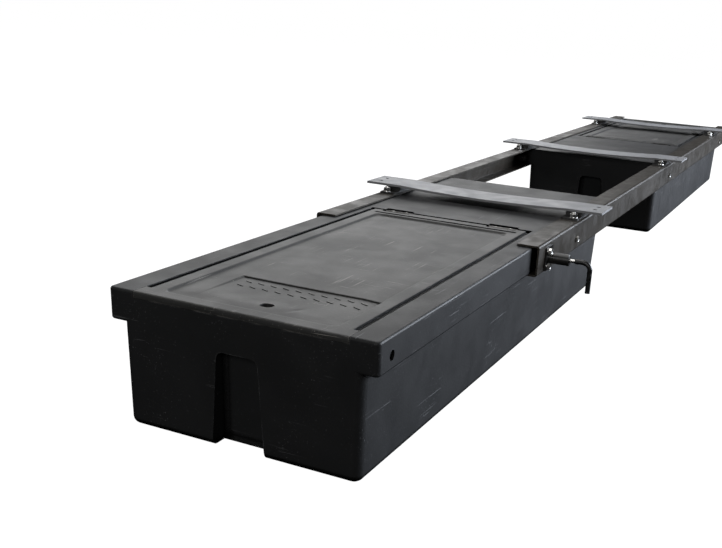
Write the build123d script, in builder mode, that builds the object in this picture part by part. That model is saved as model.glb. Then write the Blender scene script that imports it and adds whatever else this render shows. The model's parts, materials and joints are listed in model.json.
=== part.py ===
from build123d import *
import os

# Underfloor twin slide-out storage boxes.
# Frame of the model: X runs along the rails, Y across them, +Z up.  The origin is the middle of
# the middle crossbar, on its top face.  The near box (towards -X) is pulled out; the far box is shut.
# All sizes are millimetres.

# ---------------------------------------------------------------- driving dimensions
# boxes
box_length = 1188.0
box_height = 197.0
rim_half = 200.0               # half the width over the rim
rim_height = 46.0
rim_ledge = 20.0               # the rim's overhang beyond the tub's side, at the top
side_draft = 3.0               # how far each side slopes in from top to bottom
end_draft = 17.0               # how far each end slopes in from top to bottom
wall = 5.0
top_wall = 15.0                # the double-skinned deck and lid ledge
rim_corner = 7.0
tub_corner = 14.0
floor_radius = 12.0
rim_edge = 3.5
rim_under_edge = 4.0
closed_inset = 22.0            # a shut box stands this far inside the rail's end
middle_gap = 20.0              # left between the two boxes when both are shut
near_pull = 629.0              # how far the near box is pulled out

# grip recess in each end of a box
grip_half_top = 30.3
grip_half_bottom = 40.0
grip_top = 59.0                # its top, below the rim's top
grip_back_top = 25.0           # back wall at the top, from the end face at the rim's top
grip_back_bottom = 52.0        # back wall at the floor
grip_corner = 10.0
grip_back_radius = 5.0

# latch hole in the side of the rim
rim_hole_fit = 2.2             # radial clearance round the pin
rim_hole_from_end = 39.0
rim_hole_below_middle = 3.0    # its centre, below the middle of the rim's height
rim_hole_depth = 14.0

# rails
rail_thickness = 3.0
rail_top_flange = 39.0
rail_bend = 4.5                # outside radius of the folded corners
rim_side_gap = 9.0             # side of the rim to the inside of the web
rim_top_gap = 0.8              # rim to the underside of the top flange
rim_under_gap = 0.4            # rim to the bottom flange it slides on
flange_tub_gap = 2.5           # edge of the bottom flange to the side of the tub

# crossbars
bar_from_end = 328.0           # outer crossbars' centres, from the rails' ends
bar_overhang = 35.0            # beyond the outside of each rail
bar_width = 86.0
bar_thickness = 4.5
bar_bow = 5.0                  # how far the middle hangs below the ends
bar_hole_radius = 4.5
bar_hole_pitch = 30.0          # along X
bar_hole_margin = 20.0         # from the crossbar's end

# standoffs and their weld studs
standoff_foot = (128.0, 32.0, 3.0)
standoff_block = (64.0, 32.0, 9.5)
standoff_corner = 3.0
standoff_in = 21.0             # centre, from the outside of the rail
stud_in = 16.0                 # studs, from the outside of the rail
stud_radius = 4.0
stud_offset = 52.0             # either side of the crossbar's centre
stud_stick_out = 2.0           # thread showing above the nut
stud_fit = 0.5                 # radial clearance of the foot's holes
stud_chamfer = 0.8
washer_radius = 8.0
washer_fit = 0.2
washer_thickness = 1.6
nut_flats = 13.0
nut_height = 6.5

# lid
lid_margin = 40.0              # deck left beside the lid's seat
lid_gap = 0.7                  # side gap beside the lid
lid_thickness = 9.0
lid_seat_gap = 0.3             # under the lid
opening_front = 18.0
opening_ledge = 14.0           # ledge under each side of the lid
opening_rear_ledge = 35.0      # ledge between the opening and the hinge line
opening_corner = 20.0
hinge_line = 735.0             # from the box's outer end
deck_hinge_gap = 3.5           # from the hinge line to the deck's edge
lid_hinge_gap = 6.5            # from the hinge line to the lid's edge
pocket_reach = 15.0            # pocket for each hinge leaf, from the hinge line
pocket_margin = 3.0            # beyond each end of the leaf
pocket_depth = 4.5
rear_groove_width = 9.0        # across the lid, in front of its hinged edge
rear_groove_from_line = 26.0   # its rear side, from the hinge line
rear_groove_side = 20.0        # from the lid's seat
groove_width = 9.0
groove_depth = 3.5
groove_start = 28.0
panel_front = 24.0             # recessed panel in the lid
panel_side = 29.0              # from the lid's seat
panel_rear_gap = 6.0           # from the panel to the groove behind it
panel_corner = 16.0
panel_depth = 3.0
plate_front = 40.0             # sloped marker plate in the front of the panel
plate_rear = 164.0
plate_left = 90.0
plate_right_gap = 1.0          # from the panel's side
plate_depth = 2.0
finger_hole_radius = 10.0
finger_hole_from_end = 59.0
finger_hole_side = -11.0

# hinges
hinge_from_side = 56.0         # centre, from the lid's seat
hinge_length = 50.0
hinge_leaf_width = 13.4
hinge_leaf_thickness = 1.5
knuckle_radius = 2.8
hinge_pin_radius = 1.5
hinge_pin_fit = 0.05
knuckle_clear = 0.4            # between a knuckle and the other leaf's flat part
knuckle_middle = 18.0          # the lid's knuckle
knuckle_gap = 0.4
screw_pitch = 28.0             # along the hinge
screw_from_line = 7.5
screw_radius = 1.5
screw_head_radius = 3.0
screw_head_height = 1.1
screw_length = 5.0
screw_fit = 0.2                # radial clearance of the leaves' holes

# travel stops and buffers
stop_from_end = 249.0          # stop bolt, from the rail's end
stop_drop = 27.0               # below the rim's top
buffer_gap = 0.6               # between a shut box and the buffer
bolt_radius = 3.0              # M6
bolt_flats = 10.0
bolt_head = 4.0
bolt_nut = 5.0
bolt_end = 1.0                 # thread beyond a nut
bolt_fit = 0.3                 # radial clearance of the bolts' holes
lug_radius = 5.0
lug_web_gap = 3.5              # lug's end to the inside of the web
lug_chamfer = 0.8
lug_from_end = 18.0            # from the box's inner end
buffer_length = 22.0

# latches
latch_plate_thickness = 3.0
latch_plate_inner = 15.0       # its inner edge, from the pin's axis
latch_plate_outer = 10.0       # its outer edge, from the bolts
latch_plate_margin = 2.0       # plate's edges, inside the rim's height
latch_bolt_margin = 10.0       # bolts' rise and drop, short of half the rim's height
latch_bolt_room = 10.0         # bolts' rise and shift together, beyond the barrel and a washer
latch_plate_corner = 3.0
latch_washer_radius = 6.0
latch_washer_thickness = 1.2
barrel_radius = 10.0
barrel_bore = 6.5
barrel_length = 35.0
barrel_cap = 4.0
barrel_chamfer = 1.0
pin_radius = 5.0
pin_fit = 0.08
web_hole_fit = 1.0             # radial clearance of the pin's hole in the web
pin_tip_gap = 0.3              # tip to the side of the rim
pin_shoulder = 9.0             # end of the thick part, outside the web
pin_chamfer = 1.0
rod_radius = 3.0
seat_fit = 0.4                 # radial clearance of the spring's seat in the barrel
seat_thickness = 1.5
seat_gap = 0.3
spring_wire = 0.6
spring_fit = 1.2               # radial clearance of the spring in the barrel
spring_turns = 6
sleeve_wall = 1.3
sleeve_gap = 9.0               # barrel's end to the sleeve
handle_run = 27.0              # sleeve's start to the middle of the drop
handle_drop = 52.0
handle_bend = 13.0

cut_past = 1.0                 # how far a cut runs past the face it opens

# ---------------------------------------------------------------- worked-out places
tub_half_top = rim_half - rim_ledge
tub_half_bottom = tub_half_top - side_draft
rail_length = 2 * (box_length + closed_inset) + middle_gap
rail_outer_half = rim_half + rim_side_gap + rail_thickness
rail_height = 2 * rail_thickness + rim_top_gap + rim_height + rim_under_gap
rail_bottom_flange = rail_outer_half - tub_half_top - flange_tub_gap
rail_top = -(bar_thickness + standoff_block[2] + standoff_foot[2])
flange_under = rail_top - rail_thickness
rim_top = flange_under - rim_top_gap
rail_bottom = rail_top - rail_height
web_inner = rail_outer_half - rail_thickness
rail_end = rail_length / 2
shut_front = rail_end - closed_inset
near_front = -(shut_front + near_pull)
far_front = shut_front
rim_hole_radius = pin_radius + rim_hole_fit
rim_hole_drop = rim_height / 2 + rim_hole_below_middle
latch_x = rail_end - closed_inset - rim_hole_from_end
latch_z = rim_top - rim_hole_drop
stop_x = rail_end - stop_from_end
stop_z = rim_top - stop_drop
bar_spacing = rail_end - bar_from_end
bar_places = {"near": -bar_spacing, "middle": 0.0, "far": bar_spacing}
bar_length = 2 * (rail_outer_half + bar_overhang)
bar_hole_span = bar_length - 2 * bar_hole_margin
standoff_centre = rail_outer_half - standoff_in
stud_centre = rail_outer_half - stud_in
rim_draft = end_draft * rim_height / box_height
lid_seat_half = rim_half - lid_margin
lid_seat_depth = lid_thickness + lid_seat_gap
opening_half = lid_seat_half - opening_ledge
opening_rear = hinge_line - opening_rear_ledge
panel_half = lid_seat_half - panel_side
rear_groove_x = hinge_line - rear_groove_from_line - rear_groove_width / 2
panel_rear = rear_groove_x - rear_groove_width / 2 - panel_rear_gap
plate_right = -(panel_half - plate_right_gap)
rear_groove_half = lid_seat_half - rear_groove_side
hinge_centre = lid_seat_half - hinge_from_side
buffer_radius = middle_gap / 2 - buffer_gap
lid_half = lid_seat_half - lid_gap
lid_rear = hinge_line - lid_hinge_gap
deck_front = hinge_line + deck_hinge_gap
hinge_axis_z = -pocket_depth + hinge_leaf_thickness / 2
pocket_length = hinge_length + 2 * pocket_margin
foot_top = rail_top + standoff_foot[2]
stud_height = standoff_foot[2] + washer_thickness + nut_height + stud_stick_out
screw_hole_radius = screw_radius + screw_fit
bolt_hole_radius = bolt_radius + bolt_fit
lug_height = rim_side_gap - lug_web_gap
web_hole_radius = pin_radius + web_hole_fit
latch_plate_height = rim_height - 2 * latch_plate_margin
latch_bolt_rise = rim_height / 2 - latch_bolt_margin
latch_bolt_shift = barrel_radius + latch_washer_radius + latch_bolt_room - latch_bolt_rise
latch_plate_width = latch_plate_inner + latch_bolt_shift + latch_plate_outer
latch_plate_shift = latch_plate_width / 2 - latch_plate_inner
barrel_end = latch_plate_thickness + barrel_length
seat_radius = barrel_bore - seat_fit
spring_radius = barrel_bore - spring_fit - spring_wire
sleeve_radius = rod_radius + sleeve_wall
sleeve_start = barrel_end + sleeve_gap
handle_reach = sleeve_start + handle_run
tip_reach = rail_outer_half - rim_half - pin_tip_gap

# The boxes are modelled in their own frame: X from the outer end inwards, Z from the rim's top.
near_place = Location((near_front, 0, rim_top))
far_place = Location((far_front, 0, rim_top), (0, 0, 180))
box_places = {"near": near_place, "far": far_place}

os.makedirs("parts", exist_ok=True)


def save(part, name):
    """Label a finished piece and write its STEP file."""
    part.label = name
    export_step(part, f"parts/{name}.step")


def end_inset(drop):
    """How far a box's sloping end has come in at a depth below the rim's top."""
    return end_draft * drop / box_height


# ---------------------------------------------------------------- rails
# A C-section folded from sheet, drawn for the left rail (+Y) and mirrored for the right one.
with BuildPart() as left_rail:
    with BuildSketch(Plane.YZ.offset(-rail_end)):
        with BuildLine():
            Polyline(
                (rail_outer_half - rail_top_flange, rail_top),
                (rail_outer_half, rail_top),
                (rail_outer_half, rail_bottom),
                (rail_outer_half - rail_bottom_flange, rail_bottom),
                (rail_outer_half - rail_bottom_flange, rail_bottom + rail_thickness),
                (web_inner, rail_bottom + rail_thickness),
                (web_inner, flange_under),
                (rail_outer_half - rail_top_flange, flange_under),
                close=True,
            )
        make_face()
    extrude(amount=rail_length)
    long_edges = left_rail.edges().filter_by(Axis.X)
    fillet(
        long_edges.filter_by(lambda e: abs(e.center().Y - rail_outer_half) < rail_thickness / 2),
        rail_bend,
    )
    inner_folds = left_rail.edges().filter_by(Axis.X)
    fillet(
        inner_folds.filter_by(lambda e: abs(e.center().Y - web_inner) < rail_thickness / 10),
        rail_bend - rail_thickness,
    )
    # holes for the travel stops and the middle buffer
    with BuildSketch(Plane.XZ.offset(-rail_outer_half)):
        with Locations((-stop_x, stop_z), (0, stop_z), (stop_x, stop_z)):
            Circle(bolt_hole_radius)
    extrude(amount=rail_thickness, mode=Mode.SUBTRACT)
save(left_rail.part, "left_rail")

with BuildPart() as right_rail:
    add(left_rail.part.mirror(Plane.XZ))
    # holes for both latches: the pin's hole and two bolt holes each
    with BuildSketch(Plane.XZ.offset(rail_outer_half)):
        for side in (-1, 1):
            with Locations((side * latch_x, latch_z)):
                Circle(web_hole_radius)
            with Locations(
                (side * (latch_x + latch_bolt_shift), latch_z + latch_bolt_rise),
                (side * (latch_x + latch_bolt_shift), latch_z - latch_bolt_rise),
            ):
                Circle(bolt_hole_radius)
    extrude(amount=-rail_thickness, mode=Mode.SUBTRACT)
save(right_rail.part, "right_rail")

# ---------------------------------------------------------------- crossbars
# Flat over the standoffs and beyond, bowed down between them.
bow_half = standoff_centre - standoff_block[1] / 2
for name, bar_x in bar_places.items():
    with BuildPart() as crossbar:
        with BuildSketch(Plane.YZ.offset(bar_x - bar_width / 2)):
            with BuildLine():
                Line((-bar_length / 2, 0), (-bow_half, 0))
                ThreePointArc((-bow_half, 0), (0, -bar_bow), (bow_half, 0))
                Line((bow_half, 0), (bar_length / 2, 0))
                Line((bar_length / 2, 0), (bar_length / 2, -bar_thickness))
                Line((bar_length / 2, -bar_thickness), (bow_half, -bar_thickness))
                ThreePointArc(
                    (bow_half, -bar_thickness),
                    (0, -bar_bow - bar_thickness),
                    (-bow_half, -bar_thickness),
                )
                Line((-bow_half, -bar_thickness), (-bar_length / 2, -bar_thickness))
                Line((-bar_length / 2, -bar_thickness), (-bar_length / 2, 0))
            make_face()
        extrude(amount=bar_width)
        with BuildSketch(Plane.XY):
            with Locations((bar_x, 0)):
                with GridLocations(bar_hole_pitch, bar_hole_span, 2, 2):
                    Circle(bar_hole_radius)
        extrude(amount=-bar_thickness, mode=Mode.SUBTRACT)
    save(crossbar.part, f"{name}_crossbar")

# ---------------------------------------------------------------- standoffs and weld studs
crossings = [(x, side * standoff_centre) for x in bar_places.values() for side in (-1, 1)]
stud_points = [
    (x + along * stud_offset, side * stud_centre)
    for x in bar_places.values()
    for side in (-1, 1)
    for along in (-1, 1)
]

with BuildPart() as standoffs:
    with BuildSketch(Plane.XY.offset(rail_top)):
        with Locations(*crossings):
            RectangleRounded(standoff_foot[0], standoff_foot[1], standoff_corner)
        with Locations(*stud_points):
            Circle(stud_radius + stud_fit, mode=Mode.SUBTRACT)
    extrude(amount=standoff_foot[2])
    with BuildSketch(Plane.XY.offset(foot_top)):
        with Locations(*crossings):
            Rectangle(standoff_block[0], standoff_block[1])
    extrude(amount=standoff_block[2])
save(standoffs.part, "standoffs")

with BuildPart() as weld_studs:
    with BuildSketch(Plane.XY.offset(rail_top)):
        with Locations(*stud_points):
            Circle(stud_radius)
    extrude(amount=stud_height)
    chamfer(weld_studs.faces().group_by(Axis.Z)[-1].edges(), stud_chamfer)
save(weld_studs.part, "weld_studs")

with BuildPart() as stud_washers:
    with BuildSketch(Plane.XY.offset(foot_top)):
        with Locations(*stud_points):
            Circle(washer_radius)
            Circle(stud_radius + washer_fit, mode=Mode.SUBTRACT)
    extrude(amount=washer_thickness)
save(stud_washers.part, "stud_washers")

with BuildPart() as stud_nuts:
    with BuildSketch(Plane.XY.offset(foot_top + washer_thickness)):
        with Locations(*stud_points):
            RegularPolygon(nut_flats / 2, 6, major_radius=False)
            Circle(stud_radius, mode=Mode.SUBTRACT)
    extrude(amount=nut_height)
save(stud_nuts.part, "stud_nuts")

# ---------------------------------------------------------------- travel stops and buffers
# Bolt with its head outside the web and its nut inside, for each rail and each end.
stop_points = [(-stop_x, stop_z), (stop_x, stop_z)]
with BuildPart() as stop_bolts:
    for plane, inward in ((Plane.XZ.offset(-rail_outer_half), 1), (Plane.XZ.offset(rail_outer_half), -1)):
        with BuildSketch(plane):
            with Locations(*stop_points):
                RegularPolygon(bolt_flats / 2, 6, major_radius=False)
        extrude(amount=-inward * bolt_head)
        with BuildSketch(plane):
            with Locations(*stop_points):
                Circle(bolt_radius)
        extrude(amount=inward * (rail_thickness + bolt_nut + bolt_end))
save(stop_bolts.part, "travel_stop_bolts")

with BuildPart() as stop_nuts:
    for plane, inward in ((Plane.XZ.offset(-web_inner), 1), (Plane.XZ.offset(web_inner), -1)):
        with BuildSketch(plane):
            with Locations(*stop_points):
                RegularPolygon(bolt_flats / 2, 6, major_radius=False)
                Circle(bolt_radius, mode=Mode.SUBTRACT)
        extrude(amount=inward * bolt_nut)
save(stop_nuts.part, "travel_stop_nuts")

with BuildPart() as middle_buffers:
    for plane, inward in ((Plane.XZ.offset(-web_inner), 1), (Plane.XZ.offset(web_inner), -1)):
        with BuildSketch(plane):
            with Locations((0, stop_z)):
                Circle(buffer_radius)
                Circle(bolt_radius, mode=Mode.SUBTRACT)
        extrude(amount=inward * buffer_length)
save(middle_buffers.part, "middle_buffers")

with BuildPart() as buffer_bolts:
    for plane, inward in ((Plane.XZ.offset(-rail_outer_half), 1), (Plane.XZ.offset(rail_outer_half), -1)):
        with BuildSketch(plane):
            with Locations((0, stop_z)):
                RegularPolygon(bolt_flats / 2, 6, major_radius=False)
        extrude(amount=-inward * bolt_head)
        with BuildSketch(plane):
            with Locations((0, stop_z)):
                Circle(bolt_radius)
        extrude(amount=inward * (rail_thickness + buffer_length - bolt_end))
save(buffer_bolts.part, "buffer_bolts")

# ---------------------------------------------------------------- box shell


def rounded_outline(length_inset, half_width, corner):
    """A rounded rectangle about the box's middle, drawn in from both ends by an inset."""
    with Locations((box_length / 2, 0)):
        RectangleRounded(box_length - 2 * length_inset, 2 * half_width, corner)


def grip_blocks(grow, bottom):
    """Both grip recesses as solids, grown on their top, back and sides by an amount."""
    with BuildPart() as blocks:
        with BuildSketch(Plane.XY.offset(-grip_top + grow)):
            with Locations(((grip_back_top + grow) / 2, 0)):
                Rectangle(grip_back_top + grow, 2 * (grip_half_top + grow))
        with BuildSketch(Plane.XY.offset(bottom)):
            with Locations(((grip_back_bottom + grow) / 2, 0)):
                Rectangle(grip_back_bottom + grow, 2 * (grip_half_bottom + grow))
        loft()
        fillet(blocks.edges().filter_by(Axis.X).group_by(Axis.Z)[-1], grip_corner + grow)
        fillet(blocks.faces().sort_by(Axis.X)[-1].edges(), grip_back_radius + grow)
        mirror(about=Plane.YZ.offset(box_length / 2))
    return blocks.part


# Outer form: a wide rim over a narrower tub, with both ends sloping on one plane.
with BuildPart() as outer_form:
    with BuildSketch(Plane.XY):
        rounded_outline(0, rim_half, rim_corner)
    with BuildSketch(Plane.XY.offset(-rim_height)):
        rounded_outline(rim_draft, rim_half, rim_corner)
    loft()
    fillet(outer_form.faces().sort_by(Axis.Z)[-1].edges(), rim_edge)
    under_edges = outer_form.faces().sort_by(Axis.Z)[0].edges().filter_by(Axis.X)
    fillet(under_edges, rim_under_edge)
    with BuildSketch(Plane.XY.offset(-top_wall)):
        rounded_outline(end_inset(top_wall), tub_half_top, tub_corner)
    with BuildSketch(Plane.XY.offset(-box_height)):
        rounded_outline(end_draft, tub_half_bottom, tub_corner)
    loft()
    fillet(outer_form.faces().sort_by(Axis.Z)[0].edges(), floor_radius)

# The walls round each grip recess, kept to what lies inside the outer form.
with BuildPart() as grip_walls:
    add(grip_blocks(wall, -box_height))
    add(outer_form.part, mode=Mode.INTERSECT)

with BuildPart() as shell:
    add(outer_form.part)
    # cavity of the tub
    with BuildSketch(Plane.XY.offset(-top_wall)):
        rounded_outline(end_inset(top_wall) + wall, tub_half_top - wall, tub_corner - wall)
    with BuildSketch(Plane.XY.offset(-box_height + wall)):
        rounded_outline(end_draft + wall, tub_half_bottom - wall, tub_corner - wall)
    loft(mode=Mode.SUBTRACT)
    # hollow of the rim, open to the tub
    with BuildSketch(Plane.XY.offset(-top_wall)):
        rounded_outline(rim_draft + wall, rim_half - wall, rim_corner - wall)
    extrude(amount=-(rim_height - top_wall - wall), mode=Mode.SUBTRACT)
    # grip recesses, open through the end and the floor
    add(grip_walls.part)
    add(grip_blocks(0, -box_height), mode=Mode.SUBTRACT)
    # opening under the lid, the lid's seat, and the pockets for the hinge leaves
    with BuildSketch(Plane.XY):
        with Locations(((opening_front + opening_rear) / 2, 0)):
            RectangleRounded(opening_rear - opening_front, 2 * opening_half, opening_corner)
    extrude(amount=-(top_wall + cut_past), mode=Mode.SUBTRACT)
    with BuildSketch(Plane.XY):
        with Locations((deck_front / 2, 0)):
            Rectangle(deck_front, 2 * lid_seat_half)
    extrude(amount=-lid_seat_depth, mode=Mode.SUBTRACT)
    with BuildSketch(Plane.XY):
        with Locations(*[(hinge_line + pocket_reach / 2, side * hinge_centre) for side in (-1, 1)]):
            Rectangle(pocket_reach, pocket_length)
    extrude(amount=-pocket_depth, mode=Mode.SUBTRACT)
    # latch holes in both sides of the rim, at the outer end
    for plane, inward in ((Plane.XZ.offset(rim_half), -1), (Plane.XZ.offset(-rim_half), 1)):
        with BuildSketch(plane):
            with Locations((rim_hole_from_end, -rim_hole_drop)):
                Circle(rim_hole_radius)
        extrude(amount=inward * rim_hole_depth, mode=Mode.SUBTRACT)
    # screw holes for the hinge leaves on the deck
    with BuildSketch(Plane.XY.offset(-pocket_depth)):
        for side in (-1, 1):
            with Locations((hinge_line + screw_from_line, side * hinge_centre)):
                with GridLocations(screw_pitch, screw_pitch, 1, 2):
                    Circle(screw_radius)
    extrude(amount=-screw_length, mode=Mode.SUBTRACT)

# ---------------------------------------------------------------- lid
with BuildPart() as lid:
    with BuildSketch(Plane.XY):
        with Locations((lid_rear / 2, 0)):
            Rectangle(lid_rear, 2 * lid_half)
    extrude(amount=-lid_thickness)
    # the front edge slopes with the end of the box, and is rounded like its rim
    with BuildSketch(Plane.XZ.offset(lid_half)):
        with BuildLine():
            Polyline(
                (0, 0),
                (end_inset(lid_thickness), -lid_thickness),
                (0, -lid_thickness),
                close=True,
            )
        make_face()
    extrude(amount=-2 * lid_half, mode=Mode.SUBTRACT)
    front_edge = lid.edges().filter_by(Axis.Y).group_by(Axis.X)[0].sort_by(Axis.Z)[-1]
    fillet(front_edge, rim_edge)
    # grooves along both sides, pockets for the hinge leaves, and a groove in front of them
    with BuildSketch(Plane.XY):
        for side in (-1, 1):
            with Locations(((groove_start + lid_rear) / 2, side * (lid_half - groove_width / 2))):
                Rectangle(lid_rear - groove_start, groove_width)
    extrude(amount=-groove_depth, mode=Mode.SUBTRACT)
    with BuildSketch(Plane.XY):
        with Locations(*[(hinge_line - pocket_reach / 2, side * hinge_centre) for side in (-1, 1)]):
            Rectangle(pocket_reach, pocket_length)
    extrude(amount=-pocket_depth, mode=Mode.SUBTRACT)
    with BuildSketch(Plane.XY):
        with Locations((rear_groove_x, 0)):
            Rectangle(rear_groove_width, 2 * rear_groove_half)
    extrude(amount=-groove_depth, mode=Mode.SUBTRACT)
    # recessed panel
    with BuildSketch(Plane.XY):
        with Locations(((panel_front + panel_rear) / 2, 0)):
            RectangleRounded(panel_rear - panel_front, 2 * panel_half, panel_corner)
    extrude(amount=-panel_depth, mode=Mode.SUBTRACT)
    # sloped marker plate: no depth at the front, deepest along its rear edge
    with BuildSketch(Plane.XZ.offset(-plate_left)):
        with BuildLine():
            Polyline(
                (plate_front, -panel_depth),
                (plate_rear, -panel_depth),
                (plate_rear, -panel_depth - plate_depth),
                close=True,
            )
        make_face()
    extrude(amount=plate_left - plate_right, mode=Mode.SUBTRACT)
    # finger hole
    with BuildSketch(Plane.XY):
        with Locations((finger_hole_from_end, finger_hole_side)):
            Circle(finger_hole_radius)
    extrude(amount=-lid_thickness, mode=Mode.SUBTRACT)
    # screw holes
    with BuildSketch(Plane.XY.offset(-pocket_depth)):
        for side in (-1, 1):
            with Locations((hinge_line - screw_from_line, side * hinge_centre)):
                with GridLocations(screw_pitch, screw_pitch, 1, 2):
                    Circle(screw_radius)
    extrude(amount=-(lid_thickness - pocket_depth), mode=Mode.SUBTRACT)

# ---------------------------------------------------------------- hinges
# Two butt hinges lie open in the step.  The box's leaf carries the two outer knuckles, the lid's
# leaf the middle one.
outer_knuckle = (hinge_length - knuckle_middle) / 2 - knuckle_gap
leaf_bottom = hinge_axis_z - hinge_leaf_thickness / 2


def hinge_leaves(side_sign, knuckles):
    """Both leaves on one side of the hinge line; knuckles lists (centre offset, length)."""
    plate_inner = knuckle_radius + knuckle_clear
    plate_width = hinge_leaf_width - plate_inner
    with BuildPart() as leaves:
        for side in (-1, 1):
            hinge_y = side * hinge_centre
            with BuildSketch(Plane.XY.offset(leaf_bottom)):
                with Locations((hinge_line + side_sign * (plate_inner + plate_width / 2), hinge_y)):
                    Rectangle(plate_width, hinge_length)
                for offset, length in knuckles:
                    with Locations((hinge_line + side_sign * plate_inner / 2, hinge_y + offset)):
                        Rectangle(plate_inner, length)
                with Locations((hinge_line + side_sign * screw_from_line, hinge_y)):
                    with GridLocations(screw_pitch, screw_pitch, 1, 2):
                        Circle(screw_hole_radius, mode=Mode.SUBTRACT)
            extrude(amount=hinge_leaf_thickness)
            for offset, length in knuckles:
                with BuildSketch(Plane.XZ.offset(-(hinge_y + offset + length / 2))):
                    with Locations((hinge_line, hinge_axis_z)):
                        Circle(knuckle_radius)
                extrude(amount=length)
            with BuildSketch(Plane.XZ.offset(-(hinge_y + hinge_length))):
                with Locations((hinge_line, hinge_axis_z)):
                    Circle(hinge_pin_radius + hinge_pin_fit)
            extrude(amount=2 * hinge_length, mode=Mode.SUBTRACT)
    return leaves.part


outer_offset = (hinge_length - outer_knuckle) / 2
box_leaves = hinge_leaves(1, [(side * outer_offset, outer_knuckle) for side in (-1, 1)])
lid_leaves = hinge_leaves(-1, [(0, knuckle_middle)])

with BuildPart() as hinge_pins:
    for side in (-1, 1):
        with BuildSketch(Plane.XZ.offset(-(side * hinge_centre + hinge_length / 2))):
            with Locations((hinge_line, hinge_axis_z)):
                Circle(hinge_pin_radius)
        extrude(amount=hinge_length)


def hinge_screws(side_sign):
    """Four pan-head screws on one side of the hinge line."""
    screw_x = hinge_line + side_sign * screw_from_line
    with BuildPart() as screws:
        for side in (-1, 1):
            with BuildSketch(Plane.XY.offset(leaf_bottom + hinge_leaf_thickness)):
                with Locations((screw_x, side * hinge_centre)):
                    with GridLocations(screw_pitch, screw_pitch, 1, 2):
                        Circle(screw_head_radius)
            extrude(amount=screw_head_height)
            with BuildSketch(Plane.XY.offset(leaf_bottom + hinge_leaf_thickness)):
                with Locations((screw_x, side * hinge_centre)):
                    with GridLocations(screw_pitch, screw_pitch, 1, 2):
                        Circle(screw_radius)
            extrude(amount=-screw_length)
    return screws.part


box_screws = hinge_screws(1)
lid_screws = hinge_screws(-1)

# ---------------------------------------------------------------- stop lugs
with BuildPart() as stop_lugs:
    for plane, outward in ((Plane.XZ.offset(rim_half), 1), (Plane.XZ.offset(-rim_half), -1)):
        with BuildSketch(plane):
            with Locations((box_length - lug_from_end, -stop_drop)):
                Circle(lug_radius)
        extrude(amount=outward * lug_height)
    chamfer(stop_lugs.faces().filter_by(Axis.Y).group_by(Axis.Y)[0].edges(), lug_chamfer)
    chamfer(stop_lugs.faces().filter_by(Axis.Y).group_by(Axis.Y)[-1].edges(), lug_chamfer)

box_pieces = {
    "box_shell": shell.part,
    "lid": lid.part,
    "hinge_box_leaves": box_leaves,
    "hinge_lid_leaves": lid_leaves,
    "hinge_pins": hinge_pins.part,
    "hinge_box_screws": box_screws,
    "hinge_lid_screws": lid_screws,
    "stop_lugs": stop_lugs.part,
}
for side, place in box_places.items():
    for name, piece in box_pieces.items():
        save(piece.moved(place), f"{side}_{name}")

# ---------------------------------------------------------------- latches
# Each is built about its pin's axis, on the outside of the right rail's web.  A distance out from
# the web is along -Y.  towards_end is +1 or -1 along X, the way to the nearer end of the rail.


def out_plane(distance):
    """A plane facing outwards, a distance outside the right rail's web."""
    return Plane.XZ.offset(rail_outer_half + distance)


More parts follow.
